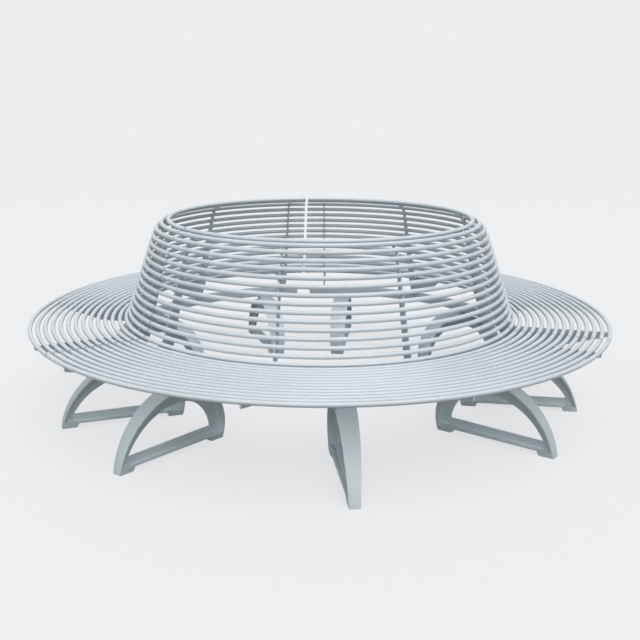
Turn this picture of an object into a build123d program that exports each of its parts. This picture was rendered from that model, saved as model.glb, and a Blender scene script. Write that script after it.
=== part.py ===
from build123d import *
from math import cos, radians, sin
import os

# A round bench that goes round a tree: three sections of 120 degrees, each of bent bars on notched rib
# plates, a bent box tube and cast half-moon legs. Millimetres; the floor is z = 0, the ring's middle is
# the Z axis and the middle of section a lies on -Y.

os.makedirs("parts", exist_ok=True)

# Layout of the ring
SECTIONS = "abc"
SECTION_ANGLE = 360 / len(SECTIONS)
FIRST_MIDDLE = -90
BAR_GAP = 14
BEARER_GAP = 75
RIB_ANGLES = (-52.5, -17.5, 17.5, 52.5)
LEG_ANGLES = (-45.8, 0, 45.8)

# Line through the bar centres, from the edge bar inwards and up the back
SEAT_RADIUS = 1200
EDGE_HEIGHT = 392
SEAT_SLOPE = 0.5
SEAT_STRAIGHT = 354
FLARE_RADIUS = 41
BACK_LEAN = 19
BACK_STRAIGHT = 347
CURL_RADIUS = 75
TOP_SLOPE = 9

# Bars
BAR_DIAMETER = 17
SEAT_PITCH = 29.2
SEAT_BAR_COUNT = 13
BACK_BAR_COUNT = 16
NOTCH_CLEARANCE = 0.2

# Rib plates
RIB_THICKNESS = 5
RIB_TOP_INSET = 5
RIB_TIP_DEPTH = 15
RIB_NOSE_REACH = 5
RIB_NOSE_DEPTH = 21
RIB_NOSE_RADIUS = 4
RIB_ROOT_DEPTH = 84
RIB_ROOT_INNER_REACH = 40
RIB_ROOT_OUTER_REACH = 110
RIB_KNEE_STEP = 38
RIB_KNEE_RISE = 91
RIB_KNEE_RADIUS = 120

# Bearer tube under the ribs, and its caps
BEARER_INSET = 350
BEARER_WIDTH = 40
BEARER_HEIGHT = 40
BEARER_WALL = 3
BEARER_CORNER = 5
CAP_THICKNESS = 3

# Legs under the bearer
CROWN_INSET = 44
CROWN_WIDTH = 79
OUTER_REACH = 304
OUTER_FOOT_WIDTH = 38
INNER_REACH = 180
INNER_FOOT_WIDTH = 62
RIM_THICKNESS = 7
WEB_THICKNESS = 8
COVE_RADIUS = 8
PAD_LENGTH = 58
PAD_HEIGHT = 17
PAD_SLANT = 9
BASE_THICKNESS = 6
WINDOW_OUTER_WALL = 49
WINDOW_INNER_WALL = 40
WINDOW_BASE_WALL = 29
WINDOW_CROWN_WALL = 64
WINDOW_CROWN_SHIFT = 14
WINDOW_CORNER = 4
SADDLE_LENGTH = 76
SADDLE_WIDTH = 66
SADDLE_HEIGHT = 14
SADDLE_SINK = 42
ANCHOR_OUTER_INSET = 44
ANCHOR_INNER_INSET = 39
ANCHOR_OFFSET = 12
ANCHOR_DIAMETER = 10
ANCHOR_SEAT_DIAMETER = 15

# Places that follow from these: distances from the axis, and heights
NOSE_END = SEAT_RADIUS + RIB_NOSE_REACH
NOSE_TOP = EDGE_HEIGHT - RIB_TOP_INSET
NOSE_BOTTOM = EDGE_HEIGHT - RIB_NOSE_DEPTH
BEARER_MIDDLE = SEAT_RADIUS - BEARER_INSET
BEARER_TOP = EDGE_HEIGHT - RIB_ROOT_DEPTH
BEARER_BOTTOM = BEARER_TOP - BEARER_HEIGHT
ROOT_INNER = BEARER_MIDDLE - BEARER_WIDTH / 2 - RIB_ROOT_INNER_REACH
ROOT_OUTER = BEARER_MIDDLE + BEARER_WIDTH / 2 + RIB_ROOT_OUTER_REACH
CROWN_MIDDLE = BEARER_MIDDLE - CROWN_INSET
CROWN_TOP = BEARER_BOTTOM - SADDLE_HEIGHT
FOOT_OUTER = CROWN_MIDDLE + OUTER_REACH
FOOT_INNER = CROWN_MIDDLE - INNER_REACH
LEDGE_TOP = PAD_HEIGHT + BASE_THICKNESS
SAME_PLACE = 0.01


def radial_plane(angle):
    """Upright plane through the Z axis: its x is the distance from the axis and its y the height."""
    outward = (cos(radians(angle)), sin(radians(angle)), 0)
    return Plane(origin=(0, 0, 0), x_dir=outward, z_dir=(outward[1], -outward[0], 0))


def profile(inset):
    """Pieces of the seat and back line, from the edge bar to the top bar, moved to its underside."""
    inwards = Vector(-1, 0).rotate(Axis.Z, SEAT_SLOPE)
    start = Vector(SEAT_RADIUS, EDGE_HEIGHT) + inwards.rotate(Axis.Z, 90) * inset
    with BuildLine() as line:
        seat = Line(start, start + inwards * SEAT_STRAIGHT)
        flare = JernArc(seat @ 1, seat % 1, FLARE_RADIUS + inset, BACK_LEAN - SEAT_SLOPE - 90)
        back = Line(flare @ 1, flare @ 1 + (flare % 1) * BACK_STRAIGHT)
        JernArc(back @ 1, back % 1, CURL_RADIUS - inset, 90 - BACK_LEAN - TOP_SLOPE)
    return line.edges()


def half_moon(outer, inner, base, crown_position, crown_height):
    """Area under two arcs that meet level at the crown, with a straight base."""
    crown = (crown_position, crown_height)
    with BuildSketch() as area:
        with BuildLine():
            front = TangentArc(crown, (outer, base), tangent=(1, 0))
            rear = TangentArc(crown, (inner, base), tangent=(-1, 0))
            Line(front @ 1, rear @ 1)
        make_face()
    return area.sketch


def leg_side(side):
    """Tilted plane of one side of a leg, through both feet and the crown."""
    outer = Vector(FOOT_OUTER, side * OUTER_FOOT_WIDTH / 2, 0)
    inner = Vector(FOOT_INNER, side * INNER_FOOT_WIDTH / 2, 0)
    crown = Vector(CROWN_MIDDLE, side * CROWN_WIDTH / 2, CROWN_TOP)
    return Plane(origin=outer, x_dir=inner - outer, z_dir=(inner - outer).cross(crown - outer))


# Bar centres, the edge bar first
centre_line = Wire(profile(0))
back_start = SEAT_BAR_COUNT * SEAT_PITCH
back_pitch = (centre_line.length - back_start) / (BACK_BAR_COUNT - 1)
distances = [index * SEAT_PITCH for index in range(SEAT_BAR_COUNT)]
distances += [back_start + index * back_pitch for index in range(BACK_BAR_COUNT)]
centres = [centre_line.position_at(d, position_mode=PositionMode.LENGTH) for d in distances]
bar_groups = {
    "edge_bar": centres[:1],
    "seat_bars": centres[1:SEAT_BAR_COUNT],
    "back_bars": centres[SEAT_BAR_COUNT:-1],
    "top_bar": centres[-1:],
}

# Section ends, seen from a section whose middle is on +X
first_end = radial_plane(-SECTION_ANGLE / 2)
last_end = radial_plane(SECTION_ANGLE / 2)

# Rib plate, drawn on +X
rib_top = profile(RIB_TOP_INSET)
rib_tip = profile(RIB_TOP_INSET + RIB_TIP_DEPTH)[-1]
with BuildPart() as rib_blank:
    with BuildSketch(Plane.XZ):
        with BuildLine():
            add(rib_top)
            add(rib_tip)
            Line(rib_top[-1] @ 1, rib_tip @ 1)
            FilletPolyline(
                rib_tip @ 0,
                (ROOT_INNER - RIB_KNEE_STEP, BEARER_TOP + RIB_KNEE_RISE),
                (ROOT_INNER, BEARER_TOP),
                radius=(RIB_KNEE_RADIUS,),
            )
            Line((ROOT_INNER, BEARER_TOP), (ROOT_OUTER, BEARER_TOP))
            FilletPolyline(
                (ROOT_OUTER, BEARER_TOP),
                (NOSE_END, NOSE_BOTTOM),
                (NOSE_END, NOSE_TOP),
                radius=(RIB_NOSE_RADIUS,),
            )
            Line((NOSE_END, NOSE_TOP), rib_top[0] @ 0)
        make_face()
        with Locations(*centres):
            Circle(BAR_DIAMETER / 2 + NOTCH_CLEARANCE, mode=Mode.SUBTRACT)
    extrude(amount=RIB_THICKNESS / 2, both=True)

# Leg, drawn on +X
moon = half_moon(FOOT_OUTER, FOOT_INNER, 0, CROWN_MIDDLE, CROWN_TOP)
opening = half_moon(
    FOOT_OUTER - WINDOW_OUTER_WALL,
    FOOT_INNER + WINDOW_INNER_WALL,
    LEDGE_TOP + WINDOW_BASE_WALL,
    CROWN_MIDDLE + WINDOW_CROWN_SHIFT,
    CROWN_TOP - WINDOW_CROWN_WALL,
)
with BuildSketch() as pocket:
    add(moon)
    offset(amount=-RIM_THICKNESS)
    with Locations((CROWN_MIDDLE, 0)):
        Rectangle(
            2 * (OUTER_REACH + INNER_REACH),
            LEDGE_TOP,
            align=(Align.CENTER, Align.MIN),
            mode=Mode.SUBTRACT,
        )
with BuildSketch() as step:
    with BuildLine():
        Polyline(
            (FOOT_INNER + PAD_LENGTH, 0),
            (FOOT_INNER + PAD_LENGTH + PAD_SLANT, PAD_HEIGHT),
            (FOOT_OUTER - PAD_LENGTH - PAD_SLANT, PAD_HEIGHT),
            (FOOT_OUTER - PAD_LENGTH, 0),
            close=True,
        )
    make_face()
anchors = [
    (place, side * ANCHOR_OFFSET)
    for place in (FOOT_OUTER - ANCHOR_OUTER_INSET, FOOT_INNER + ANCHOR_INNER_INSET)
    for side in (1, -1)
]
with BuildPart() as leg_blank:
    with BuildSketch(Plane.XZ):
        add(moon)
        add(pocket.sketch, mode=Mode.SUBTRACT)
        add(step.sketch, mode=Mode.SUBTRACT)
    extrude(amount=CROWN_WIDTH, both=True)
    split(bisect_by=leg_side(1), keep=Keep.BOTTOM)
    split(bisect_by=leg_side(-1), keep=Keep.TOP)
    with BuildSketch(Plane.XZ):
        add(pocket.sketch)
    extrude(amount=WEB_THICKNESS / 2, both=True)
    web_corners = leg_blank.edges().filter_by(
        lambda edge: abs(abs(edge.center().Y) - WEB_THICKNESS / 2) < SAME_PLACE
    )
    fillet(web_corners, radius=COVE_RADIUS)
    with BuildSketch(Plane.XZ) as window:
        add(opening)
        fillet(window.vertices().sort_by(Axis.Y)[:2], radius=WINDOW_CORNER)
    extrude(amount=WEB_THICKNESS, both=True, mode=Mode.SUBTRACT)
    with BuildSketch(Plane.XZ):
        with Locations((BEARER_MIDDLE, BEARER_BOTTOM)):
            Rectangle(SADDLE_LENGTH, SADDLE_HEIGHT + SADDLE_SINK, align=(Align.CENTER, Align.MAX))
        add(pocket.sketch, mode=Mode.SUBTRACT)
    extrude(amount=SADDLE_WIDTH / 2, both=True)
    with BuildSketch(Plane.XY):
        with Locations(*anchors):
            Circle(ANCHOR_DIAMETER / 2)
    extrude(amount=LEDGE_TOP, mode=Mode.SUBTRACT)
    with BuildSketch(Plane.XY.offset(LEDGE_TOP)):
        with Locations(*anchors):
            Circle(ANCHOR_SEAT_DIAMETER / 2)
    extrude(amount=COVE_RADIUS, mode=Mode.SUBTRACT)

# Bearer tube and its two caps, drawn on +X
with BuildPart() as bearer_blank:
    with BuildSketch(radial_plane(-SECTION_ANGLE / 2)):
        with Locations((BEARER_MIDDLE, BEARER_BOTTOM + BEARER_HEIGHT / 2)):
            RectangleRounded(BEARER_WIDTH, BEARER_HEIGHT, BEARER_CORNER)
            Rectangle(
                BEARER_WIDTH - 2 * BEARER_WALL,
                BEARER_HEIGHT - 2 * BEARER_WALL,
                mode=Mode.SUBTRACT,
            )
    revolve(axis=Axis.Z, revolution_arc=SECTION_ANGLE)
    split(bisect_by=first_end.offset(-BEARER_GAP / 2), keep=Keep.BOTTOM)
    split(bisect_by=last_end.offset(BEARER_GAP / 2), keep=Keep.TOP)
with BuildPart() as caps_blank:
    for end, side in ((first_end, -1), (last_end, 1)):
        with BuildSketch(end.offset(side * BEARER_GAP / 2)):
            with Locations((BEARER_MIDDLE, BEARER_BOTTOM + BEARER_HEIGHT / 2)):
                RectangleRounded(BEARER_WIDTH, BEARER_HEIGHT, BEARER_CORNER)
        extrude(amount=-side * CAP_THICKNESS)

# Bars of a section, drawn on +X
bar_blanks = {}
for group, points in bar_groups.items():
    with BuildPart() as bars:
        with BuildSketch(first_end):
            with Locations(*points):
                Circle(BAR_DIAMETER / 2)
        revolve(axis=Axis.Z, revolution_arc=SECTION_ANGLE)
        split(bisect_by=first_end.offset(-BAR_GAP / 2), keep=Keep.BOTTOM)
        split(bisect_by=last_end.offset(BAR_GAP / 2), keep=Keep.TOP)
    bar_blanks[group] = bars.part

# The sections, each turned to its place in the ring
for number, section in enumerate(SECTIONS):
    middle = FIRST_MIDDLE + number * SECTION_ANGLE

    for group, blank in bar_blanks.items():
        with BuildPart() as bar_group:
            add(blank, rotation=(0, 0, middle))
        bar_group.part.label = f"{group}_{section}"
        export_step(bar_group.part, f"parts/{group}_{section}.step")

    for index, angle in enumerate(RIB_ANGLES, start=1):
        with BuildPart() as rib:
            add(rib_blank.part, rotation=(0, 0, middle + angle))
        rib.part.label = f"rib_{section}{index}"
        export_step(rib.part, f"parts/rib_{section}{index}.step")

    with BuildPart() as bearer:
        add(bearer_blank.part, rotation=(0, 0, middle))
    bearer.part.label = f"bearer_{section}"
    export_step(bearer.part, f"parts/bearer_{section}.step")

    with BuildPart() as bearer_caps:
        add(caps_blank.part, rotation=(0, 0, middle))
    bearer_caps.part.label = f"bearer_caps_{section}"
    export_step(bearer_caps.part, f"parts/bearer_caps_{section}.step")

    for index, angle in enumerate(LEG_ANGLES, start=1):
        with BuildPart() as leg:
            add(leg_blank.part, rotation=(0, 0, middle + angle))
        leg.part.label = f"leg_{section}{index}"
        export_step(leg.part, f"parts/leg_{section}{index}.step")
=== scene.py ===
"""Looks of a round tree bench: bent bars on notched ribs, box-tube bearers and cast half-moon legs."""
from functools import partial
from math import asin, cos, pi, radians, sin

import bmesh
import bpy
from mathutils import Matrix, Vector


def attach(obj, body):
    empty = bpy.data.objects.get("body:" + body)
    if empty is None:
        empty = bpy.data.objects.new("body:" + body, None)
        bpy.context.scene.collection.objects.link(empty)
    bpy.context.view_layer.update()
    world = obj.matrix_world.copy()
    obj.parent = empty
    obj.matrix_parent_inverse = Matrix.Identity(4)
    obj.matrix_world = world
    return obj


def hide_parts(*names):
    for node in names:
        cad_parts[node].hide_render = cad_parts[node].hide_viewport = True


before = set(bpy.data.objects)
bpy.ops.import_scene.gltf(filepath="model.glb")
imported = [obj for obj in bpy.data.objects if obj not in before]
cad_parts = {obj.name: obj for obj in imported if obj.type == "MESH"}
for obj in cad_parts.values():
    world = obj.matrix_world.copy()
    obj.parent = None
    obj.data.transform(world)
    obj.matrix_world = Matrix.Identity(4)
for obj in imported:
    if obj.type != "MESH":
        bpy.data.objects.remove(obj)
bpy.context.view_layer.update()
BODY = "root"

# Layout of the ring as the CAD model has it; lengths are in metres and angles in degrees
SECTIONS = {"a": -90.0, "b": 30.0, "c": 150.0}
SECTION_ANGLE = 120.0
RIB_ANGLES = (-52.5, -17.5, 17.5, 52.5)
LEG_ANGLES = (-45.8, 0.0, 45.8)

# Line through the bar centres: from the edge bar in along the seat, up the back and into the curl
EDGE_POINT = (1.200, 0.392)
EDGE_HEADING = 180.5
SEAT_LENGTH = 0.354
FLARE_RADIUS = 0.041
FLARE_TURN = 71.5
BACK_LENGTH = 0.347
CURL_RADIUS = 0.075
CURL_TURN = 62.0

# Bars: the edge bar is counted with the seat, the top bar with the back
BAR_DIAMETER = 0.017
BAR_GAP = 0.014
SEAT_PITCH = 0.0292
SEAT_BAR_COUNT = 13
BACK_BAR_COUNT = 16
BAR_STATIONS = 73
BAR_SIDES = 16

# Ribs, bearers and legs
RIB_THICKNESS = 0.005
BEARER_POSITION = 0.850
BEARER_WIDTH = 0.040
BEARER_TOP = 0.308
BEARER_CORNER = 0.005
CROWN_POSITION = 0.806
RIM_CENTRE_HEIGHT = -0.0549
RIM_UNDERSIDE_RADIUS = 0.3019
RIM_THICKNESS = 0.007
SADDLE_HALF_WIDTH = 0.033
SADDLE_TOLERANCE = 0.0002

# Copies of the CAD forms: corners this near are merged, and joins this flat are dissolved
MERGE_DISTANCE = 0.00002
FLAT_ANGLE = 0.5

# Eased edges: width and number of steps, then the angles past which an edge counts as sharp
BAR_END_EASE = (0.0012, 2)
RIB_EASE = (0.0006, 2)
BEARER_EASE = (0.0008, 2)
LEG_EASE = (0.0022, 3)
BOLT_EASE = (0.0004, 1)
BAR_END_ANGLE = 60.0
EDGE_ANGLE = 35.0
WELD_ANGLE = 50.0

# Weld beads: radius, and how far the middle of the bead stands off the bar or the plate
NOTCH_BEAD = 0.0016
NOTCH_BEAD_LIFT = 0.0006
ROOT_BEAD = 0.0024
ROOT_BEAD_LIFT = 0.0009
BEAD_SIDES = 5
ARC_POINTS = 7

# Notch welds: the arc that each kind of notch gives, and how far it is turned from the underside
FULL_NOTCH = 110.0
NOTCH_WELDS = {
    "edge_bar": (70.0, 0.0),
    "seat_bars": (FULL_NOTCH, 0.0),
    "back_bars": (FULL_NOTCH, 0.0),
    "top_bar": (50.0, 25.0),
}

# Bolts up through each leg's crown into the bearer, one on each side of the web
BOLT_OFFSET = 0.0235
WASHER_RADIUS = 0.010
WASHER_HEIGHT = 0.002
WASHER_SIDES = 24
HEAD_RADIUS = 0.0095
HEAD_HEIGHT = 0.0064
HEAD_SIDES = 6

# Coats: colour, roughness and the fineness of the orange peel
BAR_COLOUR = (0.6, 0.652, 0.69)
BAR_ROUGHNESS = 0.36
BAR_PEEL = 1400.0
PLATE_COLOUR = (0.58, 0.635, 0.67)
PLATE_ROUGHNESS = 0.42
PLATE_PEEL = 1100.0
LEG_COLOUR = (0.598, 0.672, 0.7)
LEG_ROUGHNESS = 0.46

# Patterns in the coats: the lightest tone, as a share of the colour, and the span of the noise in use
LIGHTEST_SHARE = 1.03
NOISE_LOW = 0.3
NOISE_HIGH = 0.7

# Camera at the photograph's viewing angle
CAMERA_DISTANCE = 3.640
CAMERA_HEIGHT = 1.2946
CAMERA_AZIMUTH = -6.0
CAMERA_PITCH = 14.66
CAMERA_ROLL = 0.29
CAMERA_REACH = 200.0
FOCAL_PIXELS = 862.2
FRAME_PIXELS = 640.0
SENSOR_WIDTH = 36.0

# Pale floor and backdrop, soft studio light
PALE = (0.847, 0.855, 0.871)
FLOOR_TONE = (0.82, 0.828, 0.843)
FLOOR_BOUNCE = (0.11, 0.113, 0.115)
FLOOR_GLOW = 0.8
FLOOR_ROUGHNESS = 0.85
FLOOR_SHEEN = 0.1
FLOOR_SIZE = 24.0
FLOOR_FADE_START = 3.0
FLOOR_FADE_END = 9.0
WORLD_LIGHT = 0.345
WORLD_TINT = (0.82, 1.0, 0.985)
LAMP_TINT = (1.0, 0.945, 0.96)

# Sockets of a Mix node that blends colours
MIX_FIRST_COLOUR = 6
MIX_SECOND_COLOUR = 7
MIX_COLOUR_RESULT = 2

# Each stretch of the line through the bar centres: its length and its turn to the left
SEAT_LINE = (
    (SEAT_LENGTH, 0.0),
    (FLARE_RADIUS * radians(FLARE_TURN), -FLARE_TURN),
    (BACK_LENGTH, 0.0),
    (CURL_RADIUS * radians(CURL_TURN), CURL_TURN),
)
LINE_LENGTH = sum(length for length, turn in SEAT_LINE)


def on_seat_line(distance):
    """Distance from the axis, height and heading at a distance along the seat and back line."""
    x, z = EDGE_POINT
    heading = radians(EDGE_HEADING)
    for length, turn in SEAT_LINE:
        run = min(distance, length)
        bend = radians(turn) / length
        turned = heading + bend * run
        if turn:
            x += (sin(turned) - sin(heading)) / bend
            z -= (cos(turned) - cos(heading)) / bend
        else:
            x += cos(heading) * run
            z += sin(heading) * run
        heading = turned
        distance -= run
        if distance <= 0.0:
            break
    return x, z, heading


back_start = SEAT_BAR_COUNT * SEAT_PITCH
back_pitch = (LINE_LENGTH - back_start) / (BACK_BAR_COUNT - 1)
bar_distances = [index * SEAT_PITCH for index in range(SEAT_BAR_COUNT)]
bar_distances += [back_start + index * back_pitch for index in range(BACK_BAR_COUNT)]
bar_centres = [on_seat_line(distance) for distance in bar_distances]
BAR_GROUPS = {
    "edge_bar": bar_centres[:1],
    "seat_bars": bar_centres[1:SEAT_BAR_COUNT],
    "back_bars": bar_centres[SEAT_BAR_COUNT:-1],
    "top_bar": bar_centres[-1:],
}


def added_node(tree, kind, inputs=(), output=0, **settings):
    """Adds a node to a tree, links or sets its inputs, and gives back one of its outputs."""
    made = tree.nodes.new(kind)
    for key, value in settings.items():
        setattr(made, key, value)
    for key, value in dict(inputs).items():
        if isinstance(value, bpy.types.NodeSocket):
            tree.links.new(value, made.inputs[key])
        else:
            made.inputs[key].default_value = value
    return made.outputs[output]


class ShapeTree:
    """A Geometry Nodes tree with named inputs, whose result is realized and given its finish."""

    def __init__(self, name, **sizes):
        self.group = bpy.data.node_groups.new(name, "GeometryNodeTree")
        face = self.group.interface
        face.new_socket("Geometry", in_out="INPUT", socket_type="NodeSocketGeometry")
        self.inputs = {}
        for label, value in sizes.items():
            kind = "NodeSocketInt" if isinstance(value, int) else "NodeSocketFloat"
            socket = face.new_socket(label, in_out="INPUT", socket_type=kind)
            self.inputs[label] = (socket.identifier, value)
        finish = face.new_socket("finish", in_out="INPUT", socket_type="NodeSocketMaterial")
        self.finish_input = finish.identifier
        face.new_socket("Geometry", in_out="OUTPUT", socket_type="NodeSocketGeometry")
        self.start = self.group.nodes.new("NodeGroupInput")
        self.end = self.group.nodes.new("NodeGroupOutput")
        self.points = self.start.outputs["Geometry"]

    def size(self, label):
        return self.start.outputs[label]

    def node(self, kind, inputs=(), output=0, **settings):
        return added_node(self.group, kind, inputs, output, **settings)

    def math(self, operation, first, second=0.0):
        return self.node("ShaderNodeMath", {0: first, 1: second}, operation=operation)

    def read(self, label):
        return self.node("GeometryNodeInputNamedAttribute", {"Name": label}, data_type="FLOAT")

    def joined(self, *parts):
        made = self.group.nodes.new("GeometryNodeJoinGeometry")
        for part in parts:
            self.group.links.new(part, made.inputs[0])
        return made.outputs[0]

    def moved(self, geometry, axis, distance):
        shift = self.node("ShaderNodeCombineXYZ", {axis: distance})
        return self.node("GeometryNodeTransform", {"Geometry": geometry, "Translation": shift})

    def on_points(self, shape):
        """Puts a shape on every point, leant about its own Y and then turned about the upright."""
        angles = self.node("ShaderNodeCombineXYZ", {"Y": self.read("lean"), "Z": self.read("turn")})
        way = self.node("FunctionNodeEulerToRotation", {0: angles})
        return self.node(
            "GeometryNodeInstanceOnPoints",
            {"Points": self.points, "Instance": shape, "Rotation": way},
        )

    def close(self, geometry):
        """Ends the tree: instances become real, and the shape gets its finish."""
        whole = self.node("GeometryNodeRealizeInstances", {"Geometry": geometry})
        done = self.node(
            "GeometryNodeSetMaterial", {"Geometry": whole, "Material": self.size("finish")}
        )
        self.group.links.new(done, self.end.inputs[0])


def linked(name, data):
    piece = bpy.data.objects.new(name, data)
    bpy.context.scene.collection.objects.link(piece)
    return piece


def settled(piece):
    """Turns what the piece's modifiers make into its own plain mesh."""
    bpy.context.view_layer.update()
    made = piece.evaluated_get(bpy.context.evaluated_depsgraph_get())
    mesh = bpy.data.meshes.new_from_object(made)
    piece.modifiers.clear()
    piece.data = mesh
    return piece


def smoothed(mesh):
    mesh.polygons.foreach_set("use_smooth", [True] * len(mesh.polygons))


def shaded(piece, sharp_angle):
    """Smooth shading that stays crisp across edges sharper than an angle."""
    mesh = piece.data
    smoothed(mesh)
    mesh.set_sharp_from_angle(angle=radians(sharp_angle))
    mesh.update()


def eased(piece, ease, sharp_angle, **settings):
    """Rounds over the piece's edges that are sharper than an angle."""
    bevel = piece.modifiers.new("eased", "BEVEL")
    bevel.width, bevel.segments = ease
    bevel.limit_method = "ANGLE"
    bevel.angle_limit = radians(sharp_angle)
    for key, value in settings.items():
        setattr(bevel, key, value)
    return settled(piece)


def grown(name, points, tree, finish, attributes, **sizes):
    """Runs a shape tree on points that carry attributes, and keeps the result as a plain mesh."""
    mesh = bpy.data.meshes.new(name)
    mesh.from_pydata(points, [], [])
    for label, values in attributes.items():
        layer = mesh.attributes.new(label, "FLOAT", "POINT")
        layer.data.foreach_set("value", values)
    piece = linked(name, mesh)
    modifier = piece.modifiers.new(tree.group.name, "NODES")
    modifier.node_group = tree.group
    for label, (identifier, value) in tree.inputs.items():
        modifier[identifier] = sizes.get(label, value)
    modifier[tree.finish_input] = finish
    return settled(piece)


def drawn_in_saddle(shape, turn):
    """Ends a leg's saddle where the flat underside of the bearer ends, on the line of the crown."""
    outward = Vector((cos(turn), sin(turn), 0.0))
    sideways = Vector((-sin(turn), cos(turn), 0.0))
    end = BEARER_POSITION + BEARER_WIDTH / 2 - BEARER_CORNER
    rim_radius = RIM_UNDERSIDE_RADIUS + RIM_THICKNESS
    rim_top = RIM_CENTRE_HEIGHT + rim_radius * cos(asin((end - CROWN_POSITION) / rim_radius))
    for corner in shape.verts:
        side = corner.co.dot(sideways)
        reach = corner.co.dot(outward)
        on_saddle = abs(abs(side) - SADDLE_HALF_WIDTH) < SADDLE_TOLERANCE
        if on_saddle and end < reach < BEARER_POSITION + BEARER_WIDTH:
            height = max(corner.co.z, rim_top)
            corner.co = outward * end + sideways * side + Vector((0.0, 0.0, height))


def eased_copy(node, name, finish, ease, reshape=None):
    """A merged copy of a CAD node whose sharp edges are rounded over."""
    shape = bmesh.new()
    shape.from_mesh(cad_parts[node].data)
    bmesh.ops.remove_doubles(shape, verts=shape.verts, dist=MERGE_DISTANCE)
    if reshape:
        reshape(shape)
        bmesh.ops.remove_doubles(shape, verts=shape.verts, dist=MERGE_DISTANCE)
    bmesh.ops.dissolve_limit(
        shape, angle_limit=radians(FLAT_ANGLE), verts=shape.verts, edges=shape.edges
    )
    mesh = bpy.data.meshes.new(name)
    shape.to_mesh(mesh)
    shape.free()
    mesh.materials.clear()
    mesh.materials.append(finish)
    smoothed(mesh)
    piece = linked(name, mesh)
    eased(piece, ease, EDGE_ANGLE, harden_normals=True, miter_outer="MITER_ARC")
    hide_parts(node)
    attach(piece, BODY)


class Finish:
    """A procedural material whose patterns read Object coordinates."""

    def __init__(self, name, roughness):
        self.material = bpy.data.materials.new(name)
        self.material.use_nodes = True
        self.tree = self.material.node_tree
        self.shader = self.tree.nodes["Principled BSDF"]
        self.shader.inputs["Roughness"].default_value = roughness
        self.place = self.node("ShaderNodeTexCoord", output="Object")

    def node(self, kind, inputs=(), output=0, **settings):
        return added_node(self.tree, kind, inputs, output, **settings)

    def feed(self, socket, value):
        self.tree.links.new(value, self.shader.inputs[socket])

    def noise(self, scale, detail=2.0, roughness=0.5):
        return self.node(
            "ShaderNodeTexNoise",
            {"Vector": self.place, "Scale": scale, "Detail": detail, "Roughness": roughness},
        )

    def bump(self, height, strength, distance, under=None):
        """Relief in the surface, on top of the relief under it where there is one."""
        inputs = {"Height": height, "Strength": strength, "Distance": distance}
        if under is not None:
            inputs["Normal"] = under
        return self.node("ShaderNodeBump", inputs)

    def mottle(self, colour, darkest_share, scale, detail):
        """The coat's colour, with faint and slow shifts of tone."""
        blend = self.tree.nodes.new("ShaderNodeValToRGB")
        low, high = blend.color_ramp.elements
        low.position = NOISE_LOW
        low.color = (*(part * darkest_share for part in colour), 1.0)
        high.position = NOISE_HIGH
        high.color = (*(min(part * LIGHTEST_SHARE, 1.0) for part in colour), 1.0)
        self.tree.links.new(self.noise(scale, detail), blend.inputs["Fac"])
        self.feed("Base Color", blend.outputs["Color"])

    def vary_gloss(self, smoothest, roughest, scale, detail=3.0):
        """Roughness that differs from spot to spot."""
        gloss = self.node(
            "ShaderNodeMapRange",
            {
                "Value": self.noise(scale, detail),
                "From Min": NOISE_LOW,
                "From Max": NOISE_HIGH,
                "To Min": smoothest,
                "To Max": roughest,
            },
        )
        self.feed("Roughness", gloss)


def powder_coat(name, colour, roughness, peel):
    """Satin powder coat: an orange-peel skin, faint shifts of tone and uneven gloss."""
    coat = Finish(name, roughness)
    coat.mottle(colour, darkest_share=0.95, scale=3.5, detail=3.0)
    coat.vary_gloss(smoothest=roughness - 0.05, roughest=roughness + 0.06, scale=60.0)
    coat.feed("Normal", coat.bump(coat.noise(peel), strength=0.10, distance=0.0004))
    return coat.material


def cast_coat(name, colour, roughness):
    """Powder coat over a sand-cast skin: fine grit and slow waves under the paint."""
    coat = Finish(name, roughness)
    coat.mottle(colour, darkest_share=0.93, scale=6.0, detail=4.0)
    coat.vary_gloss(smoothest=roughness - 0.04, roughest=roughness + 0.07, scale=90.0)
    waves = coat.bump(coat.noise(scale=28.0), strength=0.12, distance=0.002)
    grit = coat.noise(scale=950.0, detail=3.0, roughness=0.6)
    coat.feed("Normal", coat.bump(grit, strength=0.16, distance=0.0005, under=waves))
    return coat.material


BAR_COAT = powder_coat("silver_grey_bar_coat", BAR_COLOUR, BAR_ROUGHNESS, BAR_PEEL)
PLATE_COAT = powder_coat("silver_grey_plate_coat", PLATE_COLOUR, PLATE_ROUGHNESS, PLATE_PEEL)
LEG_COAT = cast_coat("silver_grey_cast_coat", LEG_COLOUR, LEG_ROUGHNESS)


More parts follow.
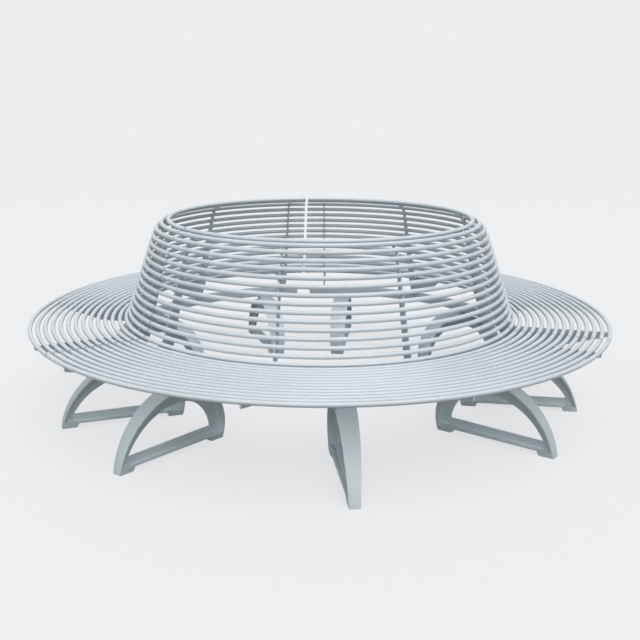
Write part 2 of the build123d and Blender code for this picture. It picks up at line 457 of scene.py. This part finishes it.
def bent_bar_tree():
    """Bends one bar round the axis for each point, which carries the bar's radius and height."""
    tree = ShapeTree(
        "bent_bars",
        middle=0.0,
        section_angle=radians(SECTION_ANGLE),
        gap=BAR_GAP,
        diameter=BAR_DIAMETER,
        stations=BAR_STATIONS,
        sides=BAR_SIDES,
    )
    line = tree.node(
        "GeometryNodeCurvePrimitiveLine", {"Start": (0.0, 0.0, 0.0), "End": (1.0, 0.0, 0.0)}
    )
    line = tree.node("GeometryNodeResampleCurve", {"Curve": line, "Count": tree.size("stations")})
    lines = tree.node("GeometryNodeInstanceOnPoints", {"Points": tree.points, "Instance": line})
    lines = tree.node("GeometryNodeRealizeInstances", {"Geometry": lines})
    place = tree.node("GeometryNodeInputPosition")
    along = tree.node("ShaderNodeSeparateXYZ", {0: place}, output="X")
    radius = tree.read("bar_radius")
    half_gap = tree.math("DIVIDE", tree.math("MULTIPLY", tree.size("gap"), 0.5), radius)
    sweep = tree.math("SUBTRACT", tree.size("section_angle"), tree.math("MULTIPLY", half_gap, 2.0))
    turn = tree.math("MULTIPLY", tree.math("SUBTRACT", along, 0.5), sweep)
    angle = tree.math("ADD", turn, tree.size("middle"))
    bent = tree.node(
        "ShaderNodeCombineXYZ",
        {
            "X": tree.math("MULTIPLY", radius, tree.math("COSINE", angle)),
            "Y": tree.math("MULTIPLY", radius, tree.math("SINE", angle)),
            "Z": tree.read("bar_height"),
        },
    )
    lines = tree.node("GeometryNodeSetPosition", {"Geometry": lines, "Position": bent})
    round_bar = tree.node(
        "GeometryNodeCurvePrimitiveCircle",
        {"Resolution": tree.size("sides"), "Radius": tree.math("MULTIPLY", tree.size("diameter"), 0.5)},
    )
    bars = tree.node(
        "GeometryNodeCurveToMesh", {"Curve": lines, "Profile Curve": round_bar, "Fill Caps": True}
    )
    tree.close(bars)
    return tree


bars_tree = bent_bar_tree()
for section, middle in SECTIONS.items():
    for group, centres in BAR_GROUPS.items():
        bars = grown(
            f"{group}_{section}_bent",
            [(0.0, 0.0, 0.0)] * len(centres),
            bars_tree,
            BAR_COAT,
            {
                "bar_radius": [x for x, z, heading in centres],
                "bar_height": [z for x, z, heading in centres],
            },
            middle=radians(middle),
        )
        eased(bars, BAR_END_EASE, BAR_END_ANGLE)
        shaded(bars, BAR_END_ANGLE)
        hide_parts(f"{group}_{section}")
        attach(bars, BODY)

# Ribs, bearers and legs: the CAD forms with eased edges
for section, middle in SECTIONS.items():
    for index in range(1, len(RIB_ANGLES) + 1):
        eased_copy(f"rib_{section}{index}", f"rib_{section}{index}_plate", PLATE_COAT, RIB_EASE)
    eased_copy(f"bearer_{section}", f"bearer_{section}_tube", PLATE_COAT, BEARER_EASE)
    eased_copy(f"bearer_caps_{section}", f"bearer_{section}_caps", PLATE_COAT, BEARER_EASE)
    for index, angle in enumerate(LEG_ANGLES, start=1):
        eased_copy(
            f"leg_{section}{index}",
            f"leg_{section}{index}_casting",
            LEG_COAT,
            LEG_EASE,
            partial(drawn_in_saddle, turn=radians(middle + angle)),
        )


def weld_pair(tree, path):
    """A bead of weld along a path, on both faces of a plate."""
    near = tree.moved(path, "Y", tree.size("offset"))
    far = tree.moved(path, "Y", tree.math("MULTIPLY", tree.size("offset"), -1.0))
    bead = tree.node(
        "GeometryNodeCurvePrimitiveCircle", {"Resolution": BEAD_SIDES, "Radius": tree.size("bead")}
    )
    return tree.node(
        "GeometryNodeCurveToMesh",
        {"Curve": tree.joined(near, far), "Profile Curve": bead, "Fill Caps": True},
    )


def notch_weld_tree():
    """Welds that hold a bar in a rib's notch: an arc round the underside of the bar."""
    tree = ShapeTree(
        "notch_welds",
        sweep=radians(FULL_NOTCH),
        reach=BAR_DIAMETER / 2 + NOTCH_BEAD_LIFT,
        offset=RIB_THICKNESS / 2 + NOTCH_BEAD_LIFT,
        bead=NOTCH_BEAD,
    )
    half_sweep = tree.math("MULTIPLY", tree.size("sweep"), 0.5)
    arc = tree.node(
        "GeometryNodeCurveArc",
        {
            "Resolution": ARC_POINTS,
            "Radius": tree.size("reach"),
            "Start Angle": tree.math("SUBTRACT", -pi / 2, half_sweep),
            "Sweep Angle": tree.size("sweep"),
        },
        mode="RADIUS",
    )
    upright = tree.node("GeometryNodeTransform", {"Geometry": arc, "Rotation": (pi / 2, 0.0, 0.0)})
    tree.close(tree.on_points(weld_pair(tree, upright)))
    return tree


def root_weld_tree():
    """Welds along a rib's root on the flat top of the bearer."""
    tree = ShapeTree(
        "root_welds",
        run=BEARER_WIDTH - 2 * BEARER_CORNER,
        offset=RIB_THICKNESS / 2 + ROOT_BEAD_LIFT,
        bead=ROOT_BEAD,
    )
    half_run = tree.math("MULTIPLY", tree.size("run"), 0.5)
    line = tree.node(
        "GeometryNodeCurvePrimitiveLine",
        {
            "Start": tree.node("ShaderNodeCombineXYZ", {"X": tree.math("MULTIPLY", half_run, -1.0)}),
            "End": tree.node("ShaderNodeCombineXYZ", {"X": half_run}),
        },
    )
    tree.close(tree.on_points(weld_pair(tree, line)))
    return tree


def hex_bolt_tree():
    """Hexagon heads on washers, hanging down from the face that they clamp."""
    tree = ShapeTree(
        "hex_bolts",
        washer_radius=WASHER_RADIUS,
        washer_height=WASHER_HEIGHT,
        head_radius=HEAD_RADIUS,
        head_height=HEAD_HEIGHT,
    )
    washer_height = tree.size("washer_height")
    head_height = tree.size("head_height")
    washer = tree.node(
        "GeometryNodeMeshCylinder",
        {"Vertices": WASHER_SIDES, "Radius": tree.size("washer_radius"), "Depth": washer_height},
    )
    head = tree.node(
        "GeometryNodeMeshCylinder",
        {"Vertices": HEAD_SIDES, "Radius": tree.size("head_radius"), "Depth": head_height},
    )
    washer = tree.moved(washer, "Z", tree.math("MULTIPLY", washer_height, -0.5))
    drop = tree.math("ADD", washer_height, tree.math("MULTIPLY", head_height, 0.5))
    head = tree.moved(head, "Z", tree.math("MULTIPLY", drop, -1.0))
    tree.close(tree.on_points(tree.joined(washer, head)))
    return tree


# Welds of the bars in the notches, and of the ribs on the bearers
notch_welds = notch_weld_tree()
root_welds = root_weld_tree()
for section, middle in SECTIONS.items():
    turns = [radians(middle + angle) for angle in RIB_ANGLES]
    for group, centres in BAR_GROUPS.items():
        sweep, shift = NOTCH_WELDS[group]
        spots = [(turn, *centre) for turn in turns for centre in centres]
        welds = grown(
            f"{group}_{section}_welds",
            [(x * cos(turn), x * sin(turn), z) for turn, x, z, heading in spots],
            notch_welds,
            PLATE_COAT,
            {
                "turn": [turn for turn, x, z, heading in spots],
                "lean": [pi - heading - radians(shift) for turn, x, z, heading in spots],
            },
            sweep=radians(sweep),
        )
        shaded(welds, WELD_ANGLE)
        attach(welds, BODY)
    welds = grown(
        f"rib_root_{section}_welds",
        [(BEARER_POSITION * cos(turn), BEARER_POSITION * sin(turn), BEARER_TOP) for turn in turns],
        root_welds,
        PLATE_COAT,
        {"turn": turns, "lean": [0.0] * len(turns)},
    )
    shaded(welds, WELD_ANGLE)
    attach(welds, BODY)

# Bolts on the underside of the crowns, leant as the rim leans below the bearer
bolt_lean = asin((BEARER_POSITION - CROWN_POSITION) / RIM_UNDERSIDE_RADIUS)
bolt_height = RIM_CENTRE_HEIGHT + RIM_UNDERSIDE_RADIUS * cos(bolt_lean)
hex_bolts = hex_bolt_tree()
for section, middle in SECTIONS.items():
    spots = []
    for angle in LEG_ANGLES:
        turn = radians(middle + angle)
        for side in (-BOLT_OFFSET, BOLT_OFFSET):
            x = BEARER_POSITION * cos(turn) - side * sin(turn)
            y = BEARER_POSITION * sin(turn) + side * cos(turn)
            spots.append((turn, (x, y, bolt_height)))
    bolts = grown(
        f"leg_{section}_bolts",
        [place for turn, place in spots],
        hex_bolts,
        PLATE_COAT,
        {"turn": [turn for turn, place in spots], "lean": [bolt_lean] * len(spots)},
    )
    eased(bolts, BOLT_EASE, EDGE_ANGLE)
    shaded(bolts, EDGE_ANGLE)
    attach(bolts, BODY)


def photograph_camera():
    """The photograph's camera: where it stands, how it is turned and its angle of view."""
    lens = bpy.data.cameras.new("photograph_angle")
    lens.sensor_width = SENSOR_WIDTH
    lens.lens = FOCAL_PIXELS / FRAME_PIXELS * SENSOR_WIDTH
    lens.clip_end = CAMERA_REACH
    bearing = radians(CAMERA_AZIMUTH)
    away = Vector((sin(bearing), -cos(bearing), 0.0)) * CAMERA_DISTANCE
    camera = linked("photograph_angle", lens)
    camera.matrix_world = (
        Matrix.Translation(away + Vector((0.0, 0.0, CAMERA_HEIGHT)))
        @ Matrix.Rotation(bearing, 4, "Z")
        @ Matrix.Rotation(pi / 2 - radians(CAMERA_PITCH), 4, "X")
        @ Matrix.Rotation(radians(CAMERA_ROLL), 4, "Z")
    )
    return camera


def seen_directly(tree):
    """One for camera rays and for what metal and glass show, nought for light that falls on things."""
    path = tree.nodes.new("ShaderNodeLightPath")
    seen = path.outputs["Is Camera Ray"]
    for label in ("Is Glossy Ray", "Is Transmission Ray"):
        seen = added_node(tree, "ShaderNodeMath", {0: seen, 1: path.outputs[label]}, operation="MAXIMUM")
    return seen


def pale_floor():
    """A matt floor that fades into the backdrop and throws little light back up."""
    finish = Finish("pale_studio_floor", FLOOR_ROUGHNESS)
    finish.shader.inputs["Specular IOR Level"].default_value = FLOOR_SHEEN
    seen = seen_directly(finish.tree)
    tone = finish.node(
        "ShaderNodeMix",
        {
            "Factor": seen,
            MIX_FIRST_COLOUR: (*FLOOR_BOUNCE, 1.0),
            MIX_SECOND_COLOUR: (*FLOOR_TONE, 1.0),
        },
        output=MIX_COLOUR_RESULT,
        data_type="RGBA",
    )
    finish.feed("Base Color", tone)
    paper = finish.node("ShaderNodeEmission", {"Color": (*PALE, 1.0)})
    share = finish.node("ShaderNodeMath", {0: seen, 1: FLOOR_GLOW}, operation="MULTIPLY")
    lit = finish.node("ShaderNodeMixShader", {0: share, 1: finish.shader.outputs["BSDF"], 2: paper})
    distance = finish.node("ShaderNodeVectorMath", {0: finish.place}, "Value", operation="LENGTH")
    fade = finish.node(
        "ShaderNodeMapRange",
        {"Value": distance, "From Min": FLOOR_FADE_START, "From Max": FLOOR_FADE_END},
        interpolation_type="SMOOTHSTEP",
    )
    clear = finish.node("ShaderNodeBsdfTransparent")
    surface = finish.node("ShaderNodeMixShader", {0: fade, 1: lit, 2: clear})
    finish.tree.links.new(surface, finish.tree.nodes["Material Output"].inputs["Surface"])
    return finish.material


def studio_world():
    """A pale backdrop to look at, and a cool, even light from all round."""
    world = bpy.data.worlds.new("studio")
    world.use_nodes = True
    sky = world.node_tree
    glow = sky.nodes["Background"]
    glow.inputs["Color"].default_value = (*WORLD_TINT, 1.0)
    glow.inputs["Strength"].default_value = WORLD_LIGHT
    backdrop = added_node(sky, "ShaderNodeBackground", {"Color": (*PALE, 1.0)})
    either = added_node(
        sky, "ShaderNodeMixShader", {0: seen_directly(sky), 1: glow.outputs[0], 2: backdrop}
    )
    sky.links.new(either, sky.nodes["World Output"].inputs["Surface"])
    return world


def soft_sun(name, strength, spread, tilt, turn):
    """A wide, soft lamp: tilt is from straight overhead, turn is where it stands round the axis."""
    lamp = bpy.data.lights.new(name, "SUN")
    lamp.energy = strength
    lamp.color = LAMP_TINT
    lamp.angle = radians(spread)
    way = Matrix.Rotation(radians(turn), 4, "Z") @ Matrix.Rotation(radians(tilt), 4, "X")
    linked(name, lamp).matrix_world = way


half = FLOOR_SIZE / 2
floor_mesh = bpy.data.meshes.new("studio_floor")
floor_mesh.from_pydata(
    [(-half, -half, 0.0), (half, -half, 0.0), (half, half, 0.0), (-half, half, 0.0)], [], [(0, 1, 2, 3)]
)
floor_mesh.materials.append(pale_floor())
floor = linked("studio_floor", floor_mesh)

soft_sun("overhead_softbox", strength=1.98, spread=45.0, tilt=20.0, turn=20.0)
soft_sun("front_fill", strength=0.74, spread=60.0, tilt=65.0, turn=0.0)
soft_sun("left_fill", strength=0.36, spread=60.0, tilt=65.0, turn=-60.0)
soft_sun("back_fill", strength=0.2, spread=60.0, tilt=60.0, turn=180.0)

bpy.context.scene.camera = photograph_camera()
bpy.context.scene.world = studio_world()
bpy.context.scene.view_settings.view_transform = "Standard"
